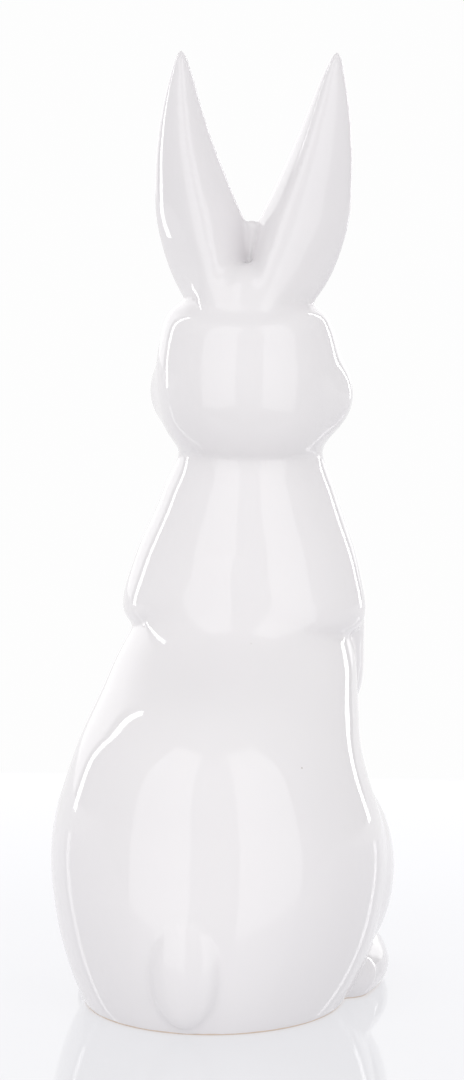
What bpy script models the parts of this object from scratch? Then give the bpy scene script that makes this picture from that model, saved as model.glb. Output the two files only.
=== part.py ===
"""Rabbit figurine, glazed ceramic, sitting upright with tall ears.

One slip-cast piece. The rabbit faces -Y, +Z is up, and the origin is on the
table under the middle of the bounding box. Sizes are in millimetres, as read
on the real figurine, and are made into metres when the faces are made.
"""

import math

import bmesh
import bpy
import numpy as np

MM = 0.001

# Height of the whole figurine, table to ear tip
HEIGHT = 275.0

# The forms are placed by their distance in front of the tail's back
TAIL_TO_MIDDLE = 58.0

# Body, from below the table line to inside the shoulders.
# height, place of the widest point, half width, reach behind, reach before,
# how much the front half narrows
BODY = [
    (-6.0, 48.0, 32.8, 39.0, 40.0, 0.00),
    (0.0, 48.6, 37.2, 44.6, 43.8, 0.00),
    (7.0, 50.0, 41.1, 48.2, 45.4, 0.02),
    (14.0, 51.2, 44.0, 50.6, 46.6, 0.04),
    (22.0, 51.8, 46.4, 52.0, 48.0, 0.06),
    (32.0, 51.8, 48.2, 52.6, 50.0, 0.08),
    (41.0, 51.2, 48.9, 51.9, 52.2, 0.10),
    (50.0, 49.8, 48.2, 50.2, 54.8, 0.13),
    (58.0, 48.2, 46.2, 47.8, 58.0, 0.17),
    (66.0, 46.8, 43.5, 45.4, 60.8, 0.20),
    (74.0, 47.8, 41.0, 43.8, 61.2, 0.20),
    (82.0, 55.2, 38.8, 45.6, 55.3, 0.15),
    (90.0, 64.0, 36.7, 45.4, 48.0, 0.09),
    (97.0, 70.2, 35.1, 39.6, 42.4, 0.05),
    (104.0, 75.0, 32.4, 33.8, 37.0, 0.03),
    (110.0, 77.8, 30.0, 31.0, 33.0, 0.01),
    (119.5, 80.6, 27.6, 30.8, 29.0, 0.00),
    (130.0, 83.0, 25.0, 28.8, 24.8, 0.00),
    (140.0, 84.6, 22.0, 24.0, 20.2, 0.00),
]

# Shoulders and upper arms as one form, elbow ledge to inside the head, with
# the same columns
SHOULDERS = [
    (100.2, 82.0, 0.0, 0.0, 0.0, 0.00),
    (101.0, 82.0, 17.0, 14.0, 9.0, 0.00),
    (102.8, 81.6, 26.6, 23.0, 14.0, 0.00),
    (105.4, 81.0, 33.0, 28.6, 17.0, 0.00),
    (108.6, 80.4, 36.0, 31.6, 18.6, 0.00),
    (113.0, 80.2, 36.4, 32.0, 19.6, 0.00),
    (119.5, 80.8, 35.0, 30.8, 21.0, 0.00),
    (128.5, 82.6, 32.3, 29.0, 22.0, 0.00),
    (137.0, 84.2, 28.9, 28.0, 21.6, 0.00),
    (144.0, 85.0, 26.2, 26.4, 20.8, 0.00),
    (148.0, 85.4, 24.7, 25.2, 19.6, 0.00),
    (154.0, 86.0, 22.2, 23.4, 17.8, 0.00),
    (161.0, 85.4, 20.4, 21.4, 17.0, 0.00),
    (170.0, 83.0, 18.0, 18.0, 17.0, 0.00),
]

# Head, chin to crown, with the same columns
HEAD = [
    (151.8, 82.8, 0.0, 0.0, 0.0, 0.00),
    (153.0, 82.8, 10.6, 10.4, 10.4, 0.00),
    (156.0, 82.6, 18.2, 18.0, 17.0, 0.02),
    (160.5, 82.6, 23.0, 23.0, 21.8, 0.05),
    (166.5, 81.8, 26.2, 26.0, 26.4, 0.08),
    (172.0, 81.4, 27.4, 27.6, 29.0, 0.10),
    (177.5, 81.0, 27.8, 28.0, 29.6, 0.10),
    (183.5, 80.6, 27.6, 27.4, 28.2, 0.10),
    (189.5, 80.0, 26.6, 25.9, 25.6, 0.08),
    (195.0, 78.8, 25.0, 23.4, 22.4, 0.06),
    (199.2, 78.0, 22.6, 18.6, 18.6, 0.04),
    (202.2, 78.2, 18.2, 14.4, 14.8, 0.02),
    (205.0, 78.8, 12.6, 9.6, 10.2, 0.00),
    (207.0, 79.4, 6.2, 5.0, 5.0, 0.00),
    (207.6, 79.6, 0.0, 0.0, 0.0, 0.00),
]

# Cheeks, muzzle, nose and eyes: the half sizes are across, through and up
CHEEK_ASIDE = 16.6
CHEEK_FORWARD = 84.4
CHEEK_HEIGHT = 175.0
CHEEK_HALF = (14.4, 14.6, 14.6)
MUZZLE_HEIGHT = 169.0
MUZZLE_FORWARD = 98.0
MUZZLE_HALF = (16.0, 15.0, 12.0)
NOSE_HEIGHT = 175.4
NOSE_FORWARD = 110.6
NOSE_HALF = (4.2, 3.0, 2.8)
EYE_ASIDE = 19.6
EYE_FORWARD = 98.2
EYE_HEIGHT = 183.0
EYE_HALF = (4.0, 4.6, 4.8)

# One ear, root to tip: height, inner edge, outer edge, place of the edges,
# depth of the back, how far the ridge lies towards the inner edge
EAR = [
    (195.4, 10.0, 10.0, 78.5, 0.0, 0.40),
    (196.6, 4.6, 14.6, 78.6, 14.0, 0.42),
    (199.6, 0.6, 17.4, 79.0, 18.6, 0.44),
    (203.5, -0.8, 20.4, 79.8, 18.0, 0.42),
    (209.0, -0.9, 23.7, 80.8, 16.8, 0.38),
    (215.0, -0.1, 26.2, 81.3, 15.8, 0.32),
    (221.0, 1.2, 28.0, 81.5, 15.0, 0.27),
    (226.0, 2.3, 29.1, 81.7, 14.2, 0.25),
    (232.0, 5.0, 29.5, 81.9, 13.2, 0.25),
    (238.0, 7.7, 29.6, 82.1, 12.0, 0.25),
    (244.0, 10.3, 29.5, 82.4, 10.6, 0.25),
    (250.0, 12.8, 29.1, 82.8, 9.2, 0.25),
    (257.0, 15.4, 28.3, 83.6, 7.4, 0.25),
    (264.0, 17.9, 27.1, 84.6, 5.6, 0.22),
    (270.4, 20.2, 25.8, 85.8, 3.8, 0.15),
    (274.2, 21.9, 24.8, 86.6, 2.4, 0.00),
    (275.8, 23.4, 23.4, 86.8, 0.0, 0.00),
]
EAR_RIM = 2.6
EAR_DISH = 0.40
EAR_RIDGE_ROUND = 0.22

# The web that joins the ears at the foot of the gap between them, and the
# saddle that fills the gap behind it down to the head
WEB_HALF = (7.0, 2.6, 16.4)
WEB_FORWARD = 81.0
WEB_HEIGHT = 209.7
SADDLE_HALF = (7.0, 11.0, 9.0)
SADDLE_FORWARD = 72.5
SADDLE_HEIGHT = 196.5

# One arm, shoulder to paw: aside, forward, height, half across, half through
ARM = [
    (16.0, 87.4, 142.0, 6.4, 7.6),
    (18.6, 88.4, 135.0, 8.0, 9.6),
    (20.8, 88.6, 126.5, 9.2, 11.2),
    (23.0, 88.0, 118.0, 9.8, 11.8),
    (24.8, 87.6, 109.5, 9.8, 11.4),
    (25.2, 90.0, 100.0, 9.2, 10.2),
    (24.6, 95.6, 91.0, 8.8, 9.2),
    (22.0, 102.2, 84.0, 8.4, 8.4),
    (16.4, 108.4, 79.4, 7.6, 7.6),
]

# Thigh and hind foot
THIGH_ASIDE = 26.8
THIGH_FORWARD = 63.0
THIGH_HEIGHT = 36.4
THIGH_HALF = (22.0, 40.0, 31.6)
THIGH_LEAN = 8.0
FOOT = [
    (34.0, 64.0, 6.2, 11.2, 9.2),
    (34.6, 76.0, 5.6, 11.4, 8.8),
    (32.6, 91.0, 5.2, 11.0, 8.2),
    (29.4, 103.0, 5.0, 10.4, 8.4),
    (28.0, 109.0, 4.6, 9.6, 7.6),
]

# Tail, low on the back and a little off the middle
TAIL_ASIDE = -1.6
TAIL_FORWARD = 6.0
TAIL_HEIGHT = 18.0
TAIL_HALF = (11.4, 8.8, 19.0)

# How finely the forms are fused, and how far their joins are softened
CELL = 1.1
SOFTENING_PASSES = 6
TRIANGLES = 9400
FINE_RINGS = 64
FINE_SIDES = 96


def smooth_through(places, values, wanted):
    """Natural cubic curve through the values, read at the wanted places."""
    count = len(places)
    gap = np.diff(places)
    slope = np.diff(values) / gap
    rows = np.eye(count)
    right = np.zeros(count)
    for i in range(1, count - 1):
        rows[i, i - 1] = gap[i - 1]
        rows[i, i] = 2.0 * (gap[i - 1] + gap[i])
        rows[i, i + 1] = gap[i]
        right[i] = 6.0 * (slope[i] - slope[i - 1])
    bend = np.linalg.solve(rows, right)
    span = np.clip(np.searchsorted(places, wanted) - 1, 0, count - 2)
    left = wanted - places[span]
    rest = places[span + 1] - wanted
    width = gap[span]
    curve = (bend[span] * rest**3 + bend[span + 1] * left**3) / (6.0 * width)
    curve += (values[span] / width - bend[span] * width / 6.0) * rest
    curve += (values[span + 1] / width - bend[span + 1] * width / 6.0) * left
    return curve


def through_stations(stations, rings, closed_first, closed_last, mirrored):
    """Rings of values on smooth curves through the stations of a form.

    A closed end has no size, so its neighbours are mirrored through it. That
    keeps the surface round there instead of pointed.
    """
    rows = np.array(stations, float)
    flip = np.array([-1.0 if m else 1.0 for m in mirrored])
    first = 0
    last = len(rows) - 1
    if closed_first:
        rows = np.vstack([rows[2] * flip, rows[1] * flip, rows])
        first += 2
        last += 2
    if closed_last:
        rows = np.vstack([rows, rows[last - 1] * flip, rows[last - 2] * flip])
    shape = rows[:, : len(mirrored)]
    step = np.linalg.norm(np.diff(shape, axis=0), axis=1)
    place = np.concatenate([[0.0], np.cumsum(step)])
    wanted = np.linspace(place[first], place[last], rings)
    columns = [smooth_through(place, shape[:, c], wanted) for c in range(shape.shape[1])]
    return np.array(columns).T


def add_rings(mesh, rings, pole_first, pole_last):
    """Joins rings of points into a closed skin. A pole ring is one point."""
    made = []
    for i, ring in enumerate(rings):
        pole = (i == 0 and pole_first) or (i == len(rings) - 1 and pole_last)
        if pole:
            middle = np.mean(ring, axis=0)
            made.append([mesh.verts.new(middle * MM)])
        else:
            made.append([mesh.verts.new(p * MM) for p in ring])
    for low, high in zip(made[:-1], made[1:]):
        sides = max(len(low), len(high))
        for k in range(sides):
            n = (k + 1) % sides
            corners = [low[k % len(low)], low[n % len(low)], high[n % len(high)], high[k % len(high)]]
            corners = list(dict.fromkeys(corners))
            mesh.faces.new(corners)
    if not pole_first:
        mesh.faces.new(list(reversed(made[0])))
    if not pole_last:
        mesh.faces.new(made[-1])


def stacked_form(mesh, stations, closed_first, closed_last):
    """Level rings: round behind, and narrowing in front where asked."""
    mirrored = (False, False, True, True, True, False)
    levels = through_stations(stations, FINE_RINGS, closed_first, closed_last, mirrored)
    turn = np.linspace(0.0, 2.0 * math.pi, FINE_SIDES, endpoint=False)
    ahead = np.maximum(np.sin(turn), 0.0)
    rings = []
    for height, middle, half, behind, before, narrow in levels:
        aside = half * np.cos(turn) * (1.0 - narrow * ahead**2)
        reach = np.where(np.sin(turn) > 0.0, before, behind) * np.sin(turn)
        forward = middle + reach
        rings.append(np.column_stack([aside, TAIL_TO_MIDDLE - forward, np.full(FINE_SIDES, height)]))
    add_rings(mesh, rings, closed_first, closed_last)


def roofed(across, ridge):
    """Height of a roof with a rounded ridge: one at the ridge and zero at both edges."""
    away = np.where(across < -ridge, (-across - ridge) / (1.0 - ridge), (across + ridge) / (1.0 + ridge))
    fall = np.hypot(away, EAR_RIDGE_ROUND) - EAR_RIDGE_ROUND
    return 1.0 - fall / (math.hypot(1.0, EAR_RIDGE_ROUND) - EAR_RIDGE_ROUND)


def ear_form(mesh, side):
    """A leaf-shaped ear: a ridged back, a hollow front and a round rim."""
    rows = []
    for height, inner, outer, edge, thick, ridge in EAR:
        rows.append((height, 0.5 * (inner + outer), 0.5 * (outer - inner), edge, thick, ridge))
    mirrored = (False, False, True, False, True, False)
    levels = through_stations(rows, FINE_RINGS, True, True, mirrored)
    turn = np.linspace(0.0, 2.0 * math.pi, FINE_SIDES, endpoint=False)
    across = np.cos(turn)
    through = np.sin(turn)
    rings = []
    for height, middle, half, edge, thick, ridge in levels:
        rim = min(EAR_RIM, 0.5 * thick)
        back = -rim * np.sqrt(np.abs(through)) - (thick - rim) * roofed(across, ridge)
        front = rim * through - EAR_DISH * thick * through**3
        reach = np.where(through < 0.0, back, front)
        aside = side * (middle + half * across)
        rings.append(np.column_stack([aside, TAIL_TO_MIDDLE - edge - reach, np.full(FINE_SIDES, height)]))
    add_rings(mesh, rings, True, True)


def ball_form(mesh, aside, forward, height, half, lean=0.0):
    """An egg-shaped form with its own half sizes, leaning forward by an angle."""
    made = bmesh.ops.create_uvsphere(mesh, u_segments=FINE_SIDES, v_segments=FINE_SIDES // 2, radius=1.0)
    c = math.cos(math.radians(lean))
    s = math.sin(math.radians(lean))
    for vert in made["verts"]:
        x = vert.co.x * half[0]
        y = vert.co.y * half[1]
        z = vert.co.z * half[2]
        vert.co.x = (aside + x) * MM
        vert.co.y = (TAIL_TO_MIDDLE - forward + y * c - z * s) * MM
        vert.co.z = (height + y * s + z * c) * MM


def limb_form(mesh, stations, side):
    """A limb with an oval section along a smooth centre line, with round ends."""
    rows = np.array(stations, float)
    step = np.linalg.norm(np.diff(rows[:, :3], axis=0), axis=1)
    place = np.concatenate([[0.0], np.cumsum(step)])
    wanted = np.linspace(0.0, place[-1], FINE_RINGS)
    line = np.array([smooth_through(place, rows[:, c], wanted) for c in range(5)]).T
    line[:, 0] *= side
    line[:, 1] = TAIL_TO_MIDDLE - line[:, 1]
    along = np.gradient(line[:, :3], axis=0)
    along /= np.linalg.norm(along, axis=1)[:, None]
    stacked = []
    for angle in np.linspace(0.5 * math.pi, 0.0, 13)[:-1]:
        stacked.append((line[0], along[0], -math.sin(angle), math.cos(angle)))
    for row, direction in zip(line, along):
        stacked.append((row, direction, 0.0, 1.0))
    for angle in np.linspace(0.0, 0.5 * math.pi, 13)[1:]:
        stacked.append((line[-1], along[-1], math.sin(angle), math.cos(angle)))
    turn = np.linspace(0.0, 2.0 * math.pi, 48, endpoint=False)
    rings = []
    for row, direction, ahead, shrink in stacked:
        across = np.array([1.0, 0.0, 0.0])
        across -= direction * np.dot(across, direction)
        across /= np.linalg.norm(across)
        upward = np.cross(direction, across)
        reach = 0.5 * (row[3] + row[4])
        middle = row[:3] + direction * ahead * reach
        ring = middle + shrink * (
            np.outer(np.cos(turn), across) * row[3] + np.outer(np.sin(turn), upward) * row[4]
        )
        rings.append(ring)
    add_rings(mesh, rings, True, True)


def form_object(name, build):
    """One closed form as a mesh object."""
    mesh = bmesh.new()
    build(mesh)
    bmesh.ops.recalc_face_normals(mesh, faces=mesh.faces)
    data = bpy.data.meshes.new(name)
    mesh.to_mesh(data)
    mesh.free()
    made = bpy.data.objects.new(name, data)
    bpy.context.collection.objects.link(made)
    return made


def all_forms():
    """Every form of the figurine, as overlapping closed skins."""
    forms = [
        form_object("body form", lambda m: stacked_form(m, BODY, False, False)),
        form_object("shoulder form", lambda m: stacked_form(m, SHOULDERS, True, False)),
        form_object("head form", lambda m: stacked_form(m, HEAD, True, True)),
        form_object("muzzle form", lambda m: ball_form(m, 0.0, MUZZLE_FORWARD, MUZZLE_HEIGHT, MUZZLE_HALF)),
        form_object("nose form", lambda m: ball_form(m, 0.0, NOSE_FORWARD, NOSE_HEIGHT, NOSE_HALF)),
        form_object("tail form", lambda m: ball_form(m, TAIL_ASIDE, TAIL_FORWARD, TAIL_HEIGHT, TAIL_HALF)),
        form_object("ear web form", lambda m: ball_form(m, 0.0, WEB_FORWARD, WEB_HEIGHT, WEB_HALF)),
        form_object("saddle form", lambda m: ball_form(m, 0.0, SADDLE_FORWARD, SADDLE_HEIGHT, SADDLE_HALF)),
    ]
    for side in (-1.0, 1.0):
        forms.append(form_object("ear form", lambda m: ear_form(m, side)))
        forms.append(form_object("arm form", lambda m: limb_form(m, ARM, side)))
        forms.append(form_object("foot form", lambda m: limb_form(m, FOOT, side)))
        forms.append(form_object(
            "cheek form",
            lambda m: ball_form(m, side * CHEEK_ASIDE, CHEEK_FORWARD, CHEEK_HEIGHT, CHEEK_HALF),
        ))
        forms.append(form_object(
            "thigh form",
            lambda m: ball_form(m, side * THIGH_ASIDE, THIGH_FORWARD, THIGH_HEIGHT, THIGH_HALF, THIGH_LEAN),
        ))
        forms.append(form_object(
            "eye form",
            lambda m: ball_form(m, side * EYE_ASIDE, EYE_FORWARD, EYE_HEIGHT, EYE_HALF),
        ))
    return forms


def applied(made):
    """Takes the modifiers of an object into its mesh."""
    graph = bpy.context.evaluated_depsgraph_get()
    data = bpy.data.meshes.new_from_object(made.evaluated_get(graph))
    made.modifiers.clear()
    made.data = data
    return made


def fused(name, cell, passes):
    """The forms fused into one skin, softened at the joins and cut off level at the table."""
    forms = all_forms()
    whole = bmesh.new()
    for form in forms:
        whole.from_mesh(form.data)
    data = bpy.data.meshes.new(name)
    whole.to_mesh(data)
    whole.free()
    for form in forms:
        bpy.data.objects.remove(form, do_unlink=True)
    made = bpy.data.objects.new(name, data)
    bpy.context.collection.objects.link(made)
    remesh = made.modifiers.new("fuse", "REMESH")
    remesh.mode = "VOXEL"
    remesh.voxel_size = cell * MM
    remesh.adaptivity = 0.0
    soften = made.modifiers.new("soften", "SMOOTH")
    soften.factor = 0.5
    soften.iterations = passes
    return applied(made)


def cut_level(made):
    """Cuts the skin off at the table plane, which leaves a flat underside."""
    mesh = bmesh.new()
    bmesh.ops.create_cube(mesh, size=1.0)
    for vert in mesh.verts:
        vert.co.x *= 300.0 * MM
        vert.co.y *= 300.0 * MM
        vert.co.z = (vert.co.z - 0.5) * 100.0 * MM
    data = bpy.data.meshes.new("table cutter")
    mesh.to_mesh(data)
    mesh.free()
    cutter = bpy.data.objects.new("table cutter", data)
    bpy.context.collection.objects.link(cutter)
    cutter.hide_render = True
    cutter.display_type = "WIRE"
    level = made.modifiers.new("level", "BOOLEAN")
    level.operation = "DIFFERENCE"
    level.solver = "EXACT"
    level.object = cutter
    applied(made)
    bpy.data.objects.remove(cutter, do_unlink=True)
    return made


def settled(made):
    """Scales to the true height, centres on the origin and checks the skin is closed."""
    mesh = bmesh.new()
    mesh.from_mesh(made.data)
    bmesh.ops.triangulate(mesh, faces=mesh.faces)
    low = [min(v.co[axis] for v in mesh.verts) for axis in range(3)]
    high = [max(v.co[axis] for v in mesh.verts) for axis in range(3)]
    scale = HEIGHT * MM / (high[2] - low[2])
    for vert in mesh.verts:
        vert.co.x = (vert.co.x - 0.5 * (low[0] + high[0])) * scale
        vert.co.y = (vert.co.y - 0.5 * (low[1] + high[1])) * scale
        vert.co.z = (vert.co.z - low[2]) * scale
    if mesh.calc_volume(signed=True) < 0.0:
        bmesh.ops.reverse_faces(mesh, faces=mesh.faces)
    open_edges = [edge for edge in mesh.edges if not edge.is_manifold]
    assert not open_edges, "the skin of the rabbit is not closed"
    mesh.to_mesh(made.data)
    mesh.free()
    return made


def main():
    for old in list(bpy.data.objects):
        bpy.data.objects.remove(old, do_unlink=True)
    rabbit = fused("rabbit", CELL, SOFTENING_PASSES)
    count = sum(len(p.vertices) - 2 for p in rabbit.data.polygons)
    thin = rabbit.modifiers.new("thin", "DECIMATE")
    thin.decimate_type = "COLLAPSE"
    thin.ratio = TRIANGLES / count
    applied(rabbit)
    cut_level(rabbit)
    settled(rabbit)
    glaze = bpy.data.materials.new("white glaze")
    glaze.use_nodes = True
    shader = glaze.node_tree.nodes["Principled BSDF"]
    shader.inputs["Base Color"].default_value = (0.86, 0.85, 0.87, 1.0)
    shader.inputs["Roughness"].default_value = 0.08
    rabbit.data.materials.clear()
    rabbit.data.materials.append(glaze)
    rabbit.data.polygons.foreach_set("use_smooth", [True] * len(rabbit.data.polygons))
    return rabbit


main()
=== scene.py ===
"""Looks of the rabbit figurine: white glazed ceramic under soft studio light.

The rabbit faces -Y and is seen from behind, as in the photograph. Sizes in
the tables are in millimetres; everything handed to Blender is in metres.
"""

import math

import bmesh
import bpy
import numpy as np
from mathutils import Matrix, Vector


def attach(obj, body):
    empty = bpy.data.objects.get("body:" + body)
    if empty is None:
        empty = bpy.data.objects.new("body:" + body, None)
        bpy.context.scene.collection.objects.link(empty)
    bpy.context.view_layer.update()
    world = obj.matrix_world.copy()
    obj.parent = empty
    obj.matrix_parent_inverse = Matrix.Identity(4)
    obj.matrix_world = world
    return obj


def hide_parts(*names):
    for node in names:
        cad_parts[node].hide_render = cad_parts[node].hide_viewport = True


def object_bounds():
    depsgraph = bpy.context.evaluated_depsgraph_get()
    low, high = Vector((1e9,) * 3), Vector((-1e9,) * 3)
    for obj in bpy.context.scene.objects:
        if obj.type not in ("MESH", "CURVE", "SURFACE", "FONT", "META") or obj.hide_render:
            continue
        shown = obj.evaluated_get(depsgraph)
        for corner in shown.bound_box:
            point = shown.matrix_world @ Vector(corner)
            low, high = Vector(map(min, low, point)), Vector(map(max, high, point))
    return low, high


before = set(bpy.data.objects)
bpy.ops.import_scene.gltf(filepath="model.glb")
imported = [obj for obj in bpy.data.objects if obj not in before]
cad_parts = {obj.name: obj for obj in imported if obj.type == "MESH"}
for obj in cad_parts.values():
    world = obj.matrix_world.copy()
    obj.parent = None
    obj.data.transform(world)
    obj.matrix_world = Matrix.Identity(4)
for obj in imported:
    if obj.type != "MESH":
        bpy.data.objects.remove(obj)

CAD_LOW, CAD_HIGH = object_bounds()
MM = 0.001
UP = Vector((0.0, 0.0, 1.0))

# The forms are placed by their distance in front of the tail's back
TAIL_TO_MIDDLE = 58.0

# Body, from below the table line to inside the shoulders: height, place of
# the widest point, half width, reach behind, reach before, how much the front
# half narrows
BODY = [
    (-6.0, 48.0, 32.8, 39.0, 40.0, 0.00),
    (0.0, 48.6, 37.2, 44.6, 43.8, 0.00),
    (7.0, 50.0, 41.1, 48.2, 45.4, 0.02),
    (14.0, 51.2, 44.0, 50.6, 46.6, 0.04),
    (22.0, 51.8, 46.4, 52.0, 48.0, 0.06),
    (32.0, 51.8, 48.2, 52.6, 50.0, 0.08),
    (41.0, 51.2, 48.9, 51.9, 52.2, 0.10),
    (50.0, 49.8, 48.2, 50.2, 54.8, 0.13),
    (58.0, 48.2, 46.2, 47.8, 58.0, 0.17),
    (66.0, 46.8, 43.5, 45.4, 60.8, 0.20),
    (74.0, 47.8, 41.0, 43.8, 61.2, 0.20),
    (82.0, 55.2, 38.8, 45.6, 55.3, 0.15),
    (90.0, 64.0, 36.7, 45.4, 48.0, 0.09),
    (97.0, 70.2, 35.1, 39.6, 42.4, 0.05),
    (104.0, 75.0, 32.4, 33.8, 37.0, 0.03),
    (110.0, 77.8, 30.0, 31.0, 33.0, 0.01),
    (119.5, 80.6, 27.6, 30.8, 29.0, 0.00),
    (130.0, 83.0, 25.0, 28.8, 24.8, 0.00),
    (140.0, 84.6, 22.0, 24.0, 20.2, 0.00),
]

# Shoulders and upper arms as one form, elbow ledge to inside the head, with
# the same columns
SHOULDERS = [
    (100.2, 82.0, 0.0, 0.0, 0.0, 0.00),
    (101.0, 82.0, 17.0, 14.0, 9.0, 0.00),
    (102.8, 81.6, 26.6, 23.0, 14.0, 0.00),
    (105.4, 81.0, 33.0, 28.6, 17.0, 0.00),
    (108.6, 80.4, 36.0, 31.6, 18.6, 0.00),
    (113.0, 80.2, 36.4, 32.0, 19.6, 0.00),
    (119.5, 80.8, 35.0, 30.8, 21.0, 0.00),
    (128.5, 82.6, 32.3, 29.0, 22.0, 0.00),
    (137.0, 84.2, 28.9, 28.0, 21.6, 0.00),
    (144.0, 85.0, 26.2, 26.4, 20.8, 0.00),
    (148.0, 85.4, 24.7, 25.2, 19.6, 0.00),
    (154.0, 86.0, 22.2, 23.4, 17.8, 0.00),
    (161.0, 85.4, 20.4, 21.4, 17.0, 0.00),
    (170.0, 83.0, 18.0, 18.0, 17.0, 0.00),
]

# Head, chin to crown, with the same columns
HEAD = [
    (151.8, 82.8, 0.0, 0.0, 0.0, 0.00),
    (153.0, 82.8, 10.6, 10.4, 10.4, 0.00),
    (156.0, 82.6, 18.2, 18.0, 17.0, 0.02),
    (160.5, 82.6, 23.0, 23.0, 21.8, 0.05),
    (166.5, 81.8, 26.2, 26.0, 26.4, 0.08),
    (172.0, 81.4, 27.4, 27.6, 29.0, 0.10),
    (177.5, 81.0, 27.8, 28.0, 29.6, 0.10),
    (183.5, 80.6, 27.6, 27.4, 28.2, 0.10),
    (189.5, 80.0, 26.6, 25.9, 25.6, 0.08),
    (195.0, 78.8, 25.0, 23.4, 22.4, 0.06),
    (199.2, 78.0, 22.6, 18.6, 18.6, 0.04),
    (202.2, 78.2, 18.2, 14.4, 14.8, 0.02),
    (205.0, 78.8, 12.6, 9.6, 10.2, 0.00),
    (207.0, 79.4, 6.2, 5.0, 5.0, 0.00),
    (207.6, 79.6, 0.0, 0.0, 0.0, 0.00),
]

# Cheeks, muzzle, nose and eyes: the half sizes are across, through and up
CHEEK_ASIDE = 16.6
CHEEK_FORWARD = 84.4
CHEEK_HEIGHT = 175.0
CHEEK_HALF = (14.4, 14.6, 14.6)
MUZZLE_HEIGHT = 169.0
MUZZLE_FORWARD = 98.0
MUZZLE_HALF = (16.0, 15.0, 12.0)
NOSE_HEIGHT = 175.4
NOSE_FORWARD = 110.6
NOSE_HALF = (4.2, 3.0, 2.8)
EYE_ASIDE = 19.6
EYE_FORWARD = 98.2
EYE_HEIGHT = 183.0
EYE_HALF = (4.0, 4.6, 4.8)

# One ear, root to tip: height, inner edge, outer edge, place of the edges,
# depth of the back, how far the ridge lies towards the inner edge
EAR = [
    (195.4, 10.0, 10.0, 78.5, 0.0, 0.40),
    (196.6, 4.6, 14.6, 78.6, 14.0, 0.42),
    (199.6, 0.6, 17.4, 79.0, 18.6, 0.44),
    (203.5, -0.8, 20.4, 79.8, 18.0, 0.42),
    (209.0, -0.9, 23.7, 80.8, 16.8, 0.38),
    (215.0, -0.1, 26.2, 81.3, 15.8, 0.32),
    (221.0, 1.2, 28.0, 81.5, 15.0, 0.27),
    (226.0, 2.3, 29.1, 81.7, 14.2, 0.25),
    (232.0, 5.0, 29.5, 81.9, 13.2, 0.25),
    (238.0, 7.7, 29.6, 82.1, 12.0, 0.25),
    (244.0, 10.3, 29.5, 82.4, 10.6, 0.25),
    (250.0, 12.8, 29.1, 82.8, 9.2, 0.25),
    (257.0, 15.4, 28.3, 83.6, 7.4, 0.25),
    (264.0, 17.9, 27.1, 84.6, 5.6, 0.22),
    (270.4, 20.2, 25.8, 85.8, 3.8, 0.15),
    (274.2, 21.9, 24.8, 86.6, 2.4, 0.00),
    (275.8, 23.4, 23.4, 86.8, 0.0, 0.00),
]

# Half thickness of the ear's rim, depth of its hollow front as a share of the
# back's, and how round the ridge is
EAR_RIM = 2.6
EAR_DISH = 0.40
EAR_RIDGE_ROUND = 0.60

# The web that joins the ears at the foot of the gap between them, and the
# saddle that fills the gap behind it down to the head
WEB_HALF = (7.0, 2.6, 16.4)
WEB_FORWARD = 81.0
WEB_HEIGHT = 209.7
SADDLE_HALF = (8.0, 12.0, 13.5)
SADDLE_FORWARD = 72.5
SADDLE_HEIGHT = 200.0

# One arm, shoulder to paw: aside, forward, height, half across, half through
ARM = [
    (16.0, 87.4, 142.0, 6.4, 7.6),
    (18.6, 88.4, 135.0, 8.0, 9.6),
    (20.8, 88.6, 126.5, 9.2, 11.2),
    (23.0, 88.0, 118.0, 9.8, 11.8),
    (24.8, 87.6, 109.5, 9.8, 11.4),
    (25.2, 90.0, 100.0, 9.2, 10.2),
    (24.6, 95.6, 91.0, 8.8, 9.2),
    (22.0, 102.2, 84.0, 8.4, 8.4),
    (16.4, 108.4, 79.4, 7.6, 7.6),
]

# Thigh, with its lean in degrees, and hind foot, with the arm's columns
THIGH_ASIDE = 26.8
THIGH_FORWARD = 63.0
THIGH_HEIGHT = 36.4
THIGH_HALF = (22.0, 40.0, 31.6)
THIGH_LEAN = 8.0
FOOT = [
    (34.0, 64.0, 6.2, 11.2, 9.2),
    (34.6, 76.0, 5.6, 11.4, 8.8),
    (32.6, 91.0, 5.2, 11.0, 8.2),
    (29.4, 103.0, 5.0, 10.4, 8.4),
    (28.0, 109.0, 4.6, 9.6, 7.6),
]

# Tail, low on the back and a little off the middle
TAIL_ASIDE = -1.6
TAIL_FORWARD = 2.6
TAIL_HEIGHT = 19.6
TAIL_HALF = (10.2, 5.4, 17.8)

# How finely the forms are made and fused, and how far their joins are softened
FINE_RINGS = 96
FINE_SIDES = 144
LIMB_SIDES = 48
LIMB_END_RINGS = 13
CELL = 0.75
SMOOTHING = 0.5
SOFTENING_PASSES = 14
TRIANGLES = 190000
CUTTER_SIDE = 300.0
CUTTER_DEPTH = 100.0

# Camera, as the photograph was taken, behind the rabbit and a little to one
# side: angles in degrees, distances in metres
CAMERA_AZIMUTH = 192.5
CAMERA_DISTANCE = 1.0
CAMERA_HEIGHT = 0.25
CAMERA_PITCH = 6.64
CAMERA_ROLL = 1.0
PHOTO_WIDTH = 464.0
PHOTO_HEIGHT = 1080.0
FOCAL_PIXELS = 3463.0
AXIS_PIXEL = 229.0
SENSOR = 36.0
CAMERA_RANGE = (0.05, 50.0)

WHITE = (1.0, 1.0, 1.0, 1.0)


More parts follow.
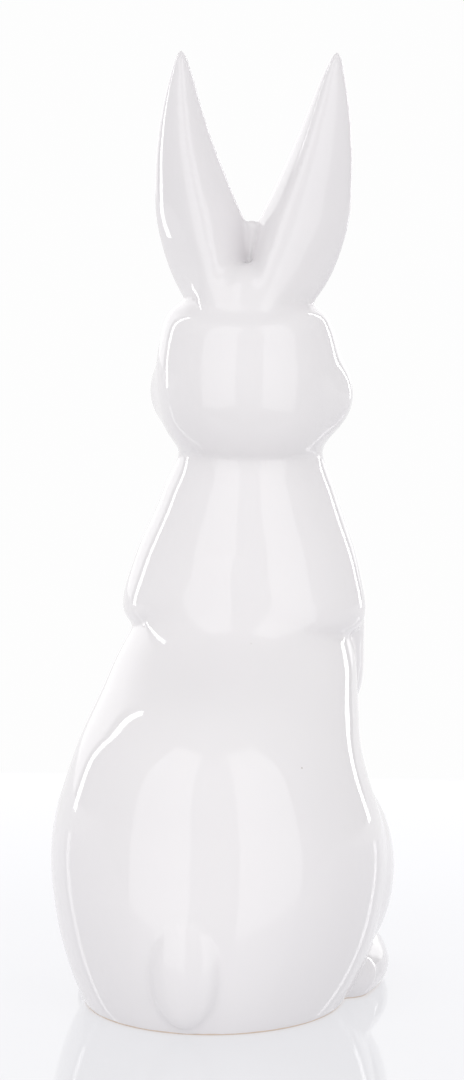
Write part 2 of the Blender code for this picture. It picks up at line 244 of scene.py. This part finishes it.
def smooth_through(places, values, wanted):
    """Natural cubic curve through the values, read at the wanted places."""
    count = len(places)
    gap = np.diff(places)
    slope = np.diff(values) / gap
    rows = np.eye(count)
    right = np.zeros(count)
    for i in range(1, count - 1):
        rows[i, i - 1] = gap[i - 1]
        rows[i, i] = 2.0 * (gap[i - 1] + gap[i])
        rows[i, i + 1] = gap[i]
        right[i] = 6.0 * (slope[i] - slope[i - 1])
    bend = np.linalg.solve(rows, right)
    span = np.clip(np.searchsorted(places, wanted) - 1, 0, count - 2)
    left = wanted - places[span]
    rest = places[span + 1] - wanted
    width = gap[span]
    curve = (bend[span] * rest**3 + bend[span + 1] * left**3) / (6.0 * width)
    curve += (values[span] / width - bend[span] * width / 6.0) * rest
    curve += (values[span + 1] / width - bend[span + 1] * width / 6.0) * left
    return curve


def through_stations(stations, rings, closed_first, closed_last, mirrored):
    """Rings of values on smooth curves through the stations of a form.

    A closed end has no size, so its neighbours are mirrored through it. That
    keeps the surface round there instead of pointed.
    """
    rows = np.array(stations, float)
    flip = np.array([-1.0 if m else 1.0 for m in mirrored])
    first = 0
    last = len(rows) - 1
    if closed_first:
        rows = np.vstack([rows[2] * flip, rows[1] * flip, rows])
        first += 2
        last += 2
    if closed_last:
        rows = np.vstack([rows, rows[last - 1] * flip, rows[last - 2] * flip])
    shape = rows[:, : len(mirrored)]
    step = np.linalg.norm(np.diff(shape, axis=0), axis=1)
    place = np.concatenate([[0.0], np.cumsum(step)])
    wanted = np.linspace(place[first], place[last], rings)
    columns = [smooth_through(place, shape[:, c], wanted) for c in range(shape.shape[1])]
    return np.array(columns).T


def add_rings(mesh, rings, pole_first, pole_last):
    """Joins rings of points into a closed skin. A pole ring is one point."""
    made = []
    for i, ring in enumerate(rings):
        pole = (i == 0 and pole_first) or (i == len(rings) - 1 and pole_last)
        if pole:
            middle = np.mean(ring, axis=0)
            made.append([mesh.verts.new(middle * MM)])
        else:
            made.append([mesh.verts.new(p * MM) for p in ring])
    for low, high in zip(made[:-1], made[1:]):
        sides = max(len(low), len(high))
        for k in range(sides):
            n = (k + 1) % sides
            corners = [low[k % len(low)], low[n % len(low)], high[n % len(high)], high[k % len(high)]]
            corners = list(dict.fromkeys(corners))
            mesh.faces.new(corners)
    if not pole_first:
        mesh.faces.new(list(reversed(made[0])))
    if not pole_last:
        mesh.faces.new(made[-1])


def stacked_form(mesh, stations, closed_first, closed_last):
    """Level rings: round behind, and narrowing in front where asked."""
    mirrored = (False, False, True, True, True, False)
    levels = through_stations(stations, FINE_RINGS, closed_first, closed_last, mirrored)
    turn = np.linspace(0.0, 2.0 * math.pi, FINE_SIDES, endpoint=False)
    ahead = np.maximum(np.sin(turn), 0.0)
    rings = []
    for height, middle, half, behind, before, narrow in levels:
        aside = half * np.cos(turn) * (1.0 - narrow * ahead**2)
        reach = np.where(np.sin(turn) > 0.0, before, behind) * np.sin(turn)
        forward = middle + reach
        rings.append(np.column_stack([aside, TAIL_TO_MIDDLE - forward, np.full(FINE_SIDES, height)]))
    add_rings(mesh, rings, closed_first, closed_last)


def roofed(across, ridge):
    """Height of a roof with a rounded ridge: one at the ridge and zero at both edges."""
    away = np.where(across < -ridge, (-across - ridge) / (1.0 - ridge), (across + ridge) / (1.0 + ridge))
    fall = np.hypot(away, EAR_RIDGE_ROUND) - EAR_RIDGE_ROUND
    return 1.0 - fall / (math.hypot(1.0, EAR_RIDGE_ROUND) - EAR_RIDGE_ROUND)


def ear_form(mesh, side):
    """A leaf-shaped ear: a ridged back, a hollow front and a round rim."""
    rows = []
    for height, inner, outer, edge, thick, ridge in EAR:
        rows.append((height, 0.5 * (inner + outer), 0.5 * (outer - inner), edge, thick, ridge))
    mirrored = (False, False, True, False, True, False)
    levels = through_stations(rows, FINE_RINGS, True, True, mirrored)
    turn = np.linspace(0.0, 2.0 * math.pi, FINE_SIDES, endpoint=False)
    across = np.cos(turn)
    through = np.sin(turn)
    rings = []
    for height, middle, half, edge, thick, ridge in levels:
        rim = min(EAR_RIM, 0.5 * thick)
        back = -rim * np.sqrt(np.abs(through)) - (thick - rim) * roofed(across, ridge)
        front = rim * through - EAR_DISH * thick * through**3
        reach = np.where(through < 0.0, back, front)
        aside = side * (middle + half * across)
        rings.append(np.column_stack([aside, TAIL_TO_MIDDLE - edge - reach, np.full(FINE_SIDES, height)]))
    add_rings(mesh, rings, True, True)


def ball_form(mesh, aside, forward, height, half, lean=0.0):
    """An egg-shaped form with its own half sizes, leaning forward by an angle."""
    made = bmesh.ops.create_uvsphere(mesh, u_segments=FINE_SIDES, v_segments=FINE_SIDES // 2, radius=1.0)
    c = math.cos(math.radians(lean))
    s = math.sin(math.radians(lean))
    for vert in made["verts"]:
        x = vert.co.x * half[0]
        y = vert.co.y * half[1]
        z = vert.co.z * half[2]
        vert.co.x = (aside + x) * MM
        vert.co.y = (TAIL_TO_MIDDLE - forward + y * c - z * s) * MM
        vert.co.z = (height + y * s + z * c) * MM


def limb_form(mesh, stations, side):
    """A limb with an oval section along a smooth centre line, with round ends."""
    rows = np.array(stations, float)
    step = np.linalg.norm(np.diff(rows[:, :3], axis=0), axis=1)
    place = np.concatenate([[0.0], np.cumsum(step)])
    wanted = np.linspace(0.0, place[-1], FINE_RINGS)
    line = np.array([smooth_through(place, rows[:, c], wanted) for c in range(5)]).T
    line[:, 0] *= side
    line[:, 1] = TAIL_TO_MIDDLE - line[:, 1]
    along = np.gradient(line[:, :3], axis=0)
    along /= np.linalg.norm(along, axis=1)[:, None]
    stacked = []
    for angle in np.linspace(0.5 * math.pi, 0.0, LIMB_END_RINGS)[:-1]:
        stacked.append((line[0], along[0], -math.sin(angle), math.cos(angle)))
    for row, direction in zip(line, along):
        stacked.append((row, direction, 0.0, 1.0))
    for angle in np.linspace(0.0, 0.5 * math.pi, LIMB_END_RINGS)[1:]:
        stacked.append((line[-1], along[-1], math.sin(angle), math.cos(angle)))
    turn = np.linspace(0.0, 2.0 * math.pi, LIMB_SIDES, endpoint=False)
    rings = []
    for row, direction, ahead, shrink in stacked:
        across = np.array([1.0, 0.0, 0.0])
        across -= direction * np.dot(across, direction)
        across /= np.linalg.norm(across)
        upward = np.cross(direction, across)
        reach = 0.5 * (row[3] + row[4])
        middle = row[:3] + direction * ahead * reach
        ring = middle + shrink * (
            np.outer(np.cos(turn), across) * row[3] + np.outer(np.sin(turn), upward) * row[4]
        )
        rings.append(ring)
    add_rings(mesh, rings, True, True)


def placed(name, data):
    """A new object in the scene, with its mesh, light or camera."""
    made = bpy.data.objects.new(name, data)
    bpy.context.collection.objects.link(made)
    return made


def mesh_object(name, mesh):
    """A new object with the edited mesh, which is used up."""
    data = bpy.data.meshes.new(name)
    mesh.to_mesh(data)
    mesh.free()
    return placed(name, data)


def form_object(name, build):
    """One closed form as a mesh object."""
    mesh = bmesh.new()
    build(mesh)
    bmesh.ops.recalc_face_normals(mesh, faces=mesh.faces)
    return mesh_object(name, mesh)


def all_forms():
    """Every form of the figurine, as overlapping closed skins."""
    forms = [
        form_object("body form", lambda m: stacked_form(m, BODY, False, False)),
        form_object("shoulder form", lambda m: stacked_form(m, SHOULDERS, True, False)),
        form_object("head form", lambda m: stacked_form(m, HEAD, True, True)),
        form_object("muzzle form", lambda m: ball_form(m, 0.0, MUZZLE_FORWARD, MUZZLE_HEIGHT, MUZZLE_HALF)),
        form_object("nose form", lambda m: ball_form(m, 0.0, NOSE_FORWARD, NOSE_HEIGHT, NOSE_HALF)),
        form_object("tail form", lambda m: ball_form(m, TAIL_ASIDE, TAIL_FORWARD, TAIL_HEIGHT, TAIL_HALF)),
        form_object("ear web form", lambda m: ball_form(m, 0.0, WEB_FORWARD, WEB_HEIGHT, WEB_HALF)),
        form_object("saddle form", lambda m: ball_form(m, 0.0, SADDLE_FORWARD, SADDLE_HEIGHT, SADDLE_HALF)),
    ]
    for side in (-1.0, 1.0):
        forms.append(form_object("ear form", lambda m: ear_form(m, side)))
        forms.append(form_object("arm form", lambda m: limb_form(m, ARM, side)))
        forms.append(form_object("foot form", lambda m: limb_form(m, FOOT, side)))
        forms.append(form_object(
            "cheek form",
            lambda m: ball_form(m, side * CHEEK_ASIDE, CHEEK_FORWARD, CHEEK_HEIGHT, CHEEK_HALF),
        ))
        forms.append(form_object(
            "thigh form",
            lambda m: ball_form(m, side * THIGH_ASIDE, THIGH_FORWARD, THIGH_HEIGHT, THIGH_HALF, THIGH_LEAN),
        ))
        forms.append(form_object(
            "eye form",
            lambda m: ball_form(m, side * EYE_ASIDE, EYE_FORWARD, EYE_HEIGHT, EYE_HALF),
        ))
    return forms


def applied(made):
    """Takes the modifiers of an object into its mesh."""
    graph = bpy.context.evaluated_depsgraph_get()
    data = bpy.data.meshes.new_from_object(made.evaluated_get(graph))
    made.modifiers.clear()
    made.data = data
    return made


def points_of(made):
    """Every point of the skin, in metres."""
    points = np.zeros(len(made.data.vertices) * 3)
    made.data.vertices.foreach_get("co", points)
    return points.reshape(-1, 3)


def fused(name):
    """The forms fused into one skin, with their joins softened."""
    forms = all_forms()
    whole = bmesh.new()
    for form in forms:
        whole.from_mesh(form.data)
    for form in forms:
        bpy.data.objects.remove(form, do_unlink=True)
    made = mesh_object(name, whole)
    remesh = made.modifiers.new("fuse", "REMESH")
    remesh.mode = "VOXEL"
    remesh.voxel_size = CELL * MM
    remesh.adaptivity = 0.0
    soften = made.modifiers.new("soften", "SMOOTH")
    soften.factor = SMOOTHING
    soften.iterations = SOFTENING_PASSES
    return applied(made)


def cut_level(made):
    """Cuts the skin off at the table plane, which leaves a flat underside."""
    mesh = bmesh.new()
    bmesh.ops.create_cube(mesh, size=1.0)
    for vert in mesh.verts:
        vert.co.x *= CUTTER_SIDE * MM
        vert.co.y *= CUTTER_SIDE * MM
        vert.co.z = (vert.co.z - 0.5) * CUTTER_DEPTH * MM
    cutter = mesh_object("table cutter", mesh)
    level = made.modifiers.new("level", "BOOLEAN")
    level.operation = "DIFFERENCE"
    level.solver = "EXACT"
    level.object = cutter
    applied(made)
    bpy.data.objects.remove(cutter, do_unlink=True)


def fitted(made):
    """Brings the skin exactly to the CAD model's box, with its outside facing out."""
    points = points_of(made)
    low = points.min(axis=0)
    high = points.max(axis=0)
    cad_low = np.array(CAD_LOW)
    cad_high = np.array(CAD_HIGH)
    scale = (cad_high - cad_low) / (high - low)
    points = cad_low + (points - low) * scale
    made.data.vertices.foreach_set("co", points.ravel())
    mesh = bmesh.new()
    mesh.from_mesh(made.data)
    bmesh.ops.triangulate(mesh, faces=mesh.faces)
    if mesh.calc_volume(signed=True) < 0.0:
        bmesh.ops.reverse_faces(mesh, faces=mesh.faces)
    mesh.to_mesh(made.data)
    mesh.free()
    made.data.update()


# Places where two forms run into each other without a ledge. In millimetres:
# the middle, aside from it on both sides, forward and height; how far the
# blend reaches each way; how many passes it takes at the finest mesh. A blend
# is at full strength in its inner half and fades out in a few steps beyond it
BLENDS = [
    ((0.0, 44.0, 108.0), (27.0, 30.0, 17.0), 260),
    ((40.0, 44.0, 52.0), (24.0, 24.0, 34.0), 220),
    ((0.0, 66.0, 204.0), (13.0, 18.0, 12.0), 110),
    ((24.0, 86.0, 176.0), (18.0, 26.0, 24.0), 160),
    ((34.0, 84.0, 110.0), (16.0, 26.0, 16.0), 12),
    ((0.0, 104.0, 133.0), (24.0, 20.0, 22.0), 200),
]
BLEND_STEPS = 10


def blended(made):
    """Smooths the skin further, but only round the places listed in BLENDS."""
    points = points_of(made) / MM
    for number, (middle, reach, passes) in enumerate(BLENDS):
        aside, forward, height = middle
        away = np.column_stack([
            (np.abs(points[:, 0]) - aside) / reach[0],
            (TAIL_TO_MIDDLE - forward - points[:, 1]) / reach[1],
            (points[:, 2] - height) / reach[2],
        ])
        weight = np.clip(2.0 * (1.0 - np.linalg.norm(away, axis=1)), 0.0, 1.0)
        group = made.vertex_groups.new(name=f"blend {number}")
        for level in range(1, BLEND_STEPS + 1):
            chosen = np.flatnonzero(np.ceil(weight * BLEND_STEPS) == level)
            group.add(chosen.tolist(), level / BLEND_STEPS, "REPLACE")
        blend = made.modifiers.new(f"blend {number}", "SMOOTH")
        blend.vertex_group = group.name
        blend.factor = SMOOTHING
        blend.iterations = passes
    applied(made)
    made.vertex_groups.clear()
    return made


# Fine creases, drawn as the face and feet look from in front. Each line's
# points are aside and height. A crease has its line, how far forward the skin
# has to be, its depth and its half width, and fades in over a little distance
EYE_LID = [(15.4, 182.4), (17.0, 180.6), (19.2, 179.8), (21.6, 180.4), (23.4, 182.4)]
MOUTH_MIDDLE = [(0.0, 173.0), (0.0, 168.4)]
MOUTH_SIDE = [(0.0, 168.4), (2.0, 166.6), (4.4, 166.0), (6.8, 167.0)]
TOE_INNER = [(25.0, 1.5), (24.8, 12.5)]
TOE_OUTER = [(31.0, 1.5), (31.2, 12.5)]
CREASES = [
    (EYE_LID, 90.0, 0.9, 1.3),
    (MOUTH_MIDDLE, 104.0, 0.8, 1.1),
    (MOUTH_SIDE, 104.0, 0.8, 1.1),
    (TOE_INNER, 108.5, 1.1, 1.5),
    (TOE_OUTER, 108.5, 1.1, 1.5),
]
CREASE_FADE = 2.0


def creased(made):
    """Presses the creases into the front of the skin, alike on both sides."""
    points = points_of(made) / MM
    normals = np.zeros(len(points) * 3)
    made.data.vertex_normals.foreach_get("vector", normals)
    normals = normals.reshape(-1, 3)
    aside = np.abs(points[:, 0])
    forward = TAIL_TO_MIDDLE - points[:, 1]
    pressed = np.zeros(len(points))
    for line, nearest, depth, width in CREASES:
        for start, end in zip(line[:-1], line[1:]):
            start = np.array(start)
            step = np.array(end) - start
            away = np.column_stack([aside, points[:, 2]]) - start
            along = np.clip(away @ step / (step @ step), 0.0, 1.0)
            gap = np.linalg.norm(away - along[:, None] * step, axis=1) / width
            across = np.clip(1.0 - gap**2, 0.0, 1.0)**2
            ahead = np.clip((forward - nearest) / CREASE_FADE, 0.0, 1.0)
            pressed = np.maximum(pressed, depth * across * ahead)
    points -= normals * pressed[:, None]
    made.data.vertices.foreach_set("co", (points * MM).ravel())
    made.data.update()
    return made


def rabbit_piece():
    """The whole glazed rabbit as one fine skin."""
    rabbit = creased(blended(fused("rabbit_glazed")))
    count = sum(len(p.vertices) - 2 for p in rabbit.data.polygons)
    thin = rabbit.modifiers.new("thin", "DECIMATE")
    thin.decimate_type = "COLLAPSE"
    thin.ratio = min(1.0, TRIANGLES / count)
    applied(rabbit)
    cut_level(rabbit)
    fitted(rabbit)
    rabbit.data.polygons.foreach_set("use_smooth", [True] * len(rabbit.data.polygons))
    rabbit.data.materials.clear()
    rabbit.data.materials.append(glaze_material())
    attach(rabbit, "root")
    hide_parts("rabbit")


def new_material(name):
    """A material with its node tree and its shader, not yet set."""
    made = bpy.data.materials.new(name)
    made.use_nodes = True
    tree = made.node_tree
    return made, tree, tree.nodes["Principled BSDF"]


def node(tree, kind, inputs=(), **settings):
    """A node with its settings, and its inputs given by name as values or as other sockets."""
    made = tree.nodes.new(kind)
    for key, value in settings.items():
        setattr(made, key, value)
    for key, value in dict(inputs).items():
        if isinstance(value, bpy.types.NodeSocket):
            tree.links.new(value, made.inputs[key])
        else:
            made.inputs[key].default_value = value
    return made


def mixed(tree, share, first, second, kind="RGBA"):
    """Runs from the first value to the second as the share goes from 0 to 1."""
    made = node(tree, "ShaderNodeMix", {"Factor": share, "A": first, "B": second}, data_type=kind)
    return made.outputs["Result"]


def clouds(tree, place, scale, detail, roughness):
    """Soft noise from 0 to 1."""
    made = node(tree, "ShaderNodeTexNoise", {
        "Vector": place, "Scale": scale, "Detail": detail, "Roughness": roughness,
    })
    return made.outputs["Fac"]


# Glaze: its two tones, a painted shade that darkens the glaze on the ears and the
# heights in metres between which it comes in, and the bare ceramic at the foot
GLAZE_TONES = ((0.784, 0.764, 0.780, 1.0), (0.806, 0.788, 0.800, 1.0))
EAR_PAINTED_SHADE = (0.760, 0.740, 0.757, 1.0)
EAR_SHADE_FADE = (0.185, 0.235)
BARE_TONE = (0.70, 0.58, 0.48, 1.0)
GLAZE_ROUGHNESS = 0.045
BARE_ROUGHNESS = 0.8
GLAZE_IOR = 1.5

# Least height of the bare edge and how much higher it wanders, in metres
BARE_EDGE = 0.0001
BARE_WANDER = 0.0006

# Pinholes, at most one to a cell, with their radius as a share of a cell
PINHOLE_TONE = (0.56, 0.52, 0.50, 1.0)
PINHOLE_CELLS = 62.0
PINHOLE_RADIUS = 0.016

# Depth in metres of the glaze's slow waves and of its fine grain
WAVE_DEPTH = 0.00008
GRAIN_DEPTH = 0.000002

# Noise, as scale per metre, detail and roughness: for the glaze's tone, the bare
# edge's wandering, the slow waves and the fine grain
TONE_NOISE = (22.0, 3.0, 0.5)
EDGE_NOISE = (160.0, 2.0, 0.5)
WAVE_NOISE = (60.0, 1.0, 0.4)
GRAIN_NOISE = (700.0, 2.0, 0.5)


def glaze_colour(tree, place, height, bare):
    """Faintly lilac white, with pinholes, painted shade darkening the ears and a bare foot."""
    tone = mixed(tree, clouds(tree, place, *TONE_NOISE), *GLAZE_TONES)
    # Painted shade: above these heights the glaze on the ears is made darker, standing in for shade
    ear_shade = node(tree, "ShaderNodeMapRange", {
        "Value": height, "From Min": EAR_SHADE_FADE[0], "From Max": EAR_SHADE_FADE[1],
    })
    glazed = mixed(tree, ear_shade.outputs["Result"], tone, EAR_PAINTED_SHADE)
    cells = node(tree, "ShaderNodeTexVoronoi", {"Vector": place, "Scale": PINHOLE_CELLS})
    pinhole = node(
        tree, "ShaderNodeMath", {0: cells.outputs["Distance"], 1: PINHOLE_RADIUS}, operation="LESS_THAN",
    )
    colour = mixed(tree, bare, glazed, BARE_TONE)
    return mixed(tree, pinhole.outputs["Value"], colour, PINHOLE_TONE)


def glaze_surface(tree, place):
    """The glaze's slow waves with a fine grain over them."""
    slow = clouds(tree, place, *WAVE_NOISE)
    fine = clouds(tree, place, *GRAIN_NOISE)
    waves = node(tree, "ShaderNodeBump", {"Height": slow, "Strength": 1.0, "Distance": WAVE_DEPTH})
    grain = node(tree, "ShaderNodeBump", {
        "Height": fine, "Strength": 1.0, "Distance": GRAIN_DEPTH, "Normal": waves.outputs["Normal"],
    })
    return grain.outputs["Normal"]


def glaze_material():
    """White glaze: glossy, faintly lilac, gently uneven, with a bare edge at the foot."""
    made, tree, shader = new_material("white glaze")
    place = node(tree, "ShaderNodeTexCoord").outputs["Object"]
    height = node(tree, "ShaderNodeSeparateXYZ", {"Vector": place}).outputs["Z"]
    wander = clouds(tree, place, *EDGE_NOISE)
    edge = node(tree, "ShaderNodeMath", {0: wander, 1: BARE_WANDER, 2: BARE_EDGE}, operation="MULTIPLY_ADD")
    below = node(tree, "ShaderNodeMath", {0: height, 1: edge.outputs["Value"]}, operation="LESS_THAN")
    bare = below.outputs["Value"]
    roughness = node(tree, "ShaderNodeMapRange", {
        "Value": bare, "To Min": GLAZE_ROUGHNESS, "To Max": BARE_ROUGHNESS,
    })
    tree.links.new(glaze_colour(tree, place, height, bare), shader.inputs["Base Color"])
    tree.links.new(roughness.outputs["Result"], shader.inputs["Roughness"])
    tree.links.new(glaze_surface(tree, place), shader.inputs["Normal"])
    shader.inputs["IOR"].default_value = GLAZE_IOR
    return made


def view_directions():
    """The level direction in which the camera looks, and the one to its right."""
    turn = math.radians(CAMERA_AZIMUTH)
    level = Vector((-math.sin(turn), math.cos(turn), 0.0))
    return level, level.cross(UP)


def camera_directions():
    """The camera's forward, right and up directions, with its pitch and roll."""
    pitch = math.radians(CAMERA_PITCH)
    roll = math.radians(CAMERA_ROLL)
    level, right = view_directions()
    forward = level * math.cos(pitch) - UP * math.sin(pitch)
    forward = (forward + right * ((0.5 * PHOTO_WIDTH - AXIS_PIXEL) / FOCAL_PIXELS)).normalized()
    right = forward.cross(UP).normalized()
    up = right.cross(forward)
    tilted = right * math.cos(roll) + up * math.sin(roll)
    return forward, tilted, tilted.cross(forward)


def make_camera():
    """The photograph's camera."""
    forward, right, up = camera_directions()
    data = bpy.data.cameras.new("photo camera")
    data.sensor_width = SENSOR
    data.lens = SENSOR * FOCAL_PIXELS / PHOTO_HEIGHT
    data.clip_start, data.clip_end = CAMERA_RANGE
    made = placed("photo camera", data)
    place = -view_directions()[0] * CAMERA_DISTANCE + UP * CAMERA_HEIGHT
    rotation = Matrix((right, up, -forward)).transposed()
    made.matrix_world = Matrix.Translation(place) @ rotation.to_4x4()
    bpy.context.scene.camera = made


# Light: how bright the surroundings look round the rabbit, by the angle in
# degrees from straight behind it, with white paper at 1
SURROUND = [
    (0.0, 1.45),
    (38.0, 1.55),
    (41.0, 0.5),
    (46.0, 0.5),
    (58.0, 0.64),
    (110.0, 0.64),
    (125.0, 0.60),
    (180.0, 0.60),
]

# How far the surroundings are turned, in degrees: the backdrop reaches a little
# further round on one side
SURROUND_TURN = 7.5

# The ceiling takes over between two heights of the direction, 0 level and 1
# straight up. The camera itself sees the backdrop as white paper
CEILING_LIGHT = 0.71
CEILING_FADE = (0.45, 0.70)
SEEN_BACKDROP = 0.985

# Softboxes beside the camera and thin strips behind the rabbit. The softboxes'
# edges and top and the strips' turns are angles in degrees, the rest metres.
# The softboxes reach below the table, and so show low down on the back
SOFTBOX_LIGHT = 0.98
SOFTBOX_NEAR = 17.0
SOFTBOX_FAR = 61.0
SOFTBOX_DISTANCE = 1.3
SOFTBOX_TOP = 66.0
SOFTBOX_FOOT = -0.55
STRIP_LIGHT = 5.0
STRIP_TURN_LEFT = -123.0
STRIP_TURN_RIGHT = 137.0
STRIP_WIDTH = 0.10
STRIP_FOOT = 0.02
STRIP_TOP = 1.35
STRIP_DISTANCE = 1.2


def area_light(name, turn, distance, width, low, high, brightness):
    """An upright rectangular light at an angle round from the camera, facing the rabbit.

    The brightness is the radiance of its face, with white paper at 1.
    """
    level, across = view_directions()
    angle = math.radians(turn)
    outward = -level * math.cos(angle) + across * math.sin(angle)
    data = bpy.data.lights.new(name, "AREA")
    data.shape = "RECTANGLE"
    data.size = width
    data.size_y = high - low
    data.energy = brightness * math.pi * width * (high - low)
    made = placed(name, data)
    rotation = Matrix((UP.cross(outward), UP, outward)).transposed()
    centre = outward * distance + UP * 0.5 * (low + high)
    made.matrix_world = Matrix.Translation(centre) @ rotation.to_4x4()
    made.visible_camera = False


def make_lights():
    """Two tall softboxes beside the camera and two thin strips behind the rabbit."""
    middle = 0.5 * (SOFTBOX_NEAR + SOFTBOX_FAR)
    half = math.radians(0.5 * (SOFTBOX_FAR - SOFTBOX_NEAR))
    width = 2.0 * SOFTBOX_DISTANCE * math.tan(half)
    top = SOFTBOX_DISTANCE * math.tan(math.radians(SOFTBOX_TOP))
    for side in (-1.0, 1.0):
        area_light("softbox", side * middle, SOFTBOX_DISTANCE, width, SOFTBOX_FOOT, top, SOFTBOX_LIGHT)
    for turn in (STRIP_TURN_LEFT, STRIP_TURN_RIGHT):
        area_light("strip", turn, STRIP_DISTANCE, STRIP_WIDTH, STRIP_FOOT, STRIP_TOP, STRIP_LIGHT)


def surround_light(tree, direction):
    """How bright the surroundings are in a direction, by its angle round and its height."""
    level, across = view_directions()
    turn = math.radians(SURROUND_TURN)
    behind = level * math.cos(turn) - across * math.sin(turn)
    flat = node(tree, "ShaderNodeVectorMath", {0: direction, 1: (1.0, 1.0, 0.0)}, operation="MULTIPLY")
    flat = node(tree, "ShaderNodeVectorMath", {0: flat.outputs["Vector"]}, operation="NORMALIZE")
    facing = node(
        tree, "ShaderNodeVectorMath", {0: flat.outputs["Vector"], 1: tuple(behind)}, operation="DOT_PRODUCT",
    )
    angle = node(tree, "ShaderNodeMath", {0: facing.outputs["Value"]}, operation="ARCCOSINE")
    share = node(tree, "ShaderNodeMapRange", {"Value": angle.outputs["Value"], "From Max": math.pi})
    ramp = node(tree, "ShaderNodeValToRGB", {"Fac": share.outputs["Result"]})
    stops = ramp.color_ramp.elements
    while len(stops) < len(SURROUND):
        stops.new(0.5)
    for stop, (degrees, brightness) in zip(stops, SURROUND):
        stop.position = degrees / 180.0
        stop.color = (brightness, brightness, brightness, 1.0)
    high = node(tree, "ShaderNodeSeparateXYZ", {"Vector": direction}).outputs["Z"]
    overhead = node(tree, "ShaderNodeMapRange", {
        "Value": high, "From Min": CEILING_FADE[0], "From Max": CEILING_FADE[1],
    })
    return mixed(tree, overhead.outputs["Result"], ramp.outputs["Color"], CEILING_LIGHT, "FLOAT")


def make_world():
    """Plain pale surroundings: bright behind the rabbit, and dimmer beside the camera."""
    world = bpy.data.worlds.new("studio")
    bpy.context.scene.world = world
    world.use_nodes = True
    tree = world.node_tree
    tree.nodes.clear()
    direction = node(tree, "ShaderNodeTexCoord").outputs["Generated"]
    seen = node(tree, "ShaderNodeLightPath").outputs["Is Camera Ray"]
    shown = mixed(tree, seen, surround_light(tree, direction), SEEN_BACKDROP, "FLOAT")
    light = node(tree, "ShaderNodeBackground", {"Color": WHITE, "Strength": shown})
    output = node(tree, "ShaderNodeOutputWorld")
    tree.links.new(light.outputs["Background"], output.inputs["Surface"])


# Table, measured in metres from the rabbit's middle along the level view: where
# it gives way to the backdrop and how sharply, and where it ends in front, just
# outside the picture
TABLE_EDGE = 0.341
TABLE_EDGE_BLUR = (-0.002, 0.004)
TABLE_FRONT = -0.128
TABLE_SIZE = 12.0

# How far it lies below the foot, so that the two faces don't meet
TABLE_DROP = 0.00005

# Its own tone, the even glow that keeps it pale, near and far, and its gloss
TABLE_TONE = (0.20, 0.20, 0.215, 1.0)
TABLE_GLOW_TONE = (0.985, 0.985, 1.0, 1.0)
TABLE_GLOW_START = -0.05
TABLE_GLOW_NEAR = 0.64
TABLE_GLOW_FAR = 0.74
TABLE_GLOSS = 0.16
TABLE_GLOSS_ROUGHNESS = 0.05


def table_material():
    """Pale and glossy near the rabbit, and white paper beyond the table's far edge."""
    made, tree, shader = new_material("pale table")
    place = node(tree, "ShaderNodeTexCoord").outputs["Object"]
    along = node(
        tree, "ShaderNodeVectorMath", {0: place, 1: tuple(view_directions()[0])}, operation="DOT_PRODUCT",
    ).outputs["Value"]
    beyond = node(tree, "ShaderNodeMapRange", {
        "Value": along,
        "From Min": TABLE_EDGE + TABLE_EDGE_BLUR[0], "From Max": TABLE_EDGE + TABLE_EDGE_BLUR[1],
    })
    glow = node(tree, "ShaderNodeMapRange", {
        "Value": along, "From Min": TABLE_GLOW_START, "From Max": TABLE_EDGE,
        "To Min": TABLE_GLOW_NEAR, "To Max": TABLE_GLOW_FAR,
    })
    shader.inputs["Base Color"].default_value = TABLE_TONE
    shader.inputs["Specular IOR Level"].default_value = 0.0
    shader.inputs["Emission Color"].default_value = TABLE_GLOW_TONE
    tree.links.new(glow.outputs["Result"], shader.inputs["Emission Strength"])
    mirror = node(tree, "ShaderNodeBsdfGlossy", {"Color": WHITE, "Roughness": TABLE_GLOSS_ROUGHNESS})
    glossy = node(tree, "ShaderNodeMixShader", {
        "Fac": TABLE_GLOSS, 1: shader.outputs["BSDF"], 2: mirror.outputs["BSDF"],
    })
    paper = node(tree, "ShaderNodeEmission", {"Color": WHITE, "Strength": SEEN_BACKDROP})
    whole = node(tree, "ShaderNodeMixShader", {
        "Fac": beyond.outputs["Result"], 1: glossy.outputs["Shader"], 2: paper.outputs["Emission"],
    })
    tree.links.new(whole.outputs["Shader"], tree.nodes["Material Output"].inputs["Surface"])
    return made


def make_floor():
    """The plain table, which ends in front of the rabbit and runs far beyond it."""
    level, across = view_directions()
    mesh = bmesh.new()
    corners = []
    for aside, ahead in ((-0.5, 0.0), (0.5, 0.0), (0.5, 1.0), (-0.5, 1.0)):
        corner = across * aside * TABLE_SIZE + level * (TABLE_FRONT + ahead * TABLE_SIZE)
        corners.append(mesh.verts.new(corner))
    mesh.faces.new(corners)
    floor = mesh_object("floor", mesh)
    floor.data.materials.append(table_material())
    floor.location.z = -TABLE_DROP


bpy.context.scene.view_settings.view_transform = "Standard"
make_camera()
rabbit_piece()
make_floor()
make_world()
make_lights()
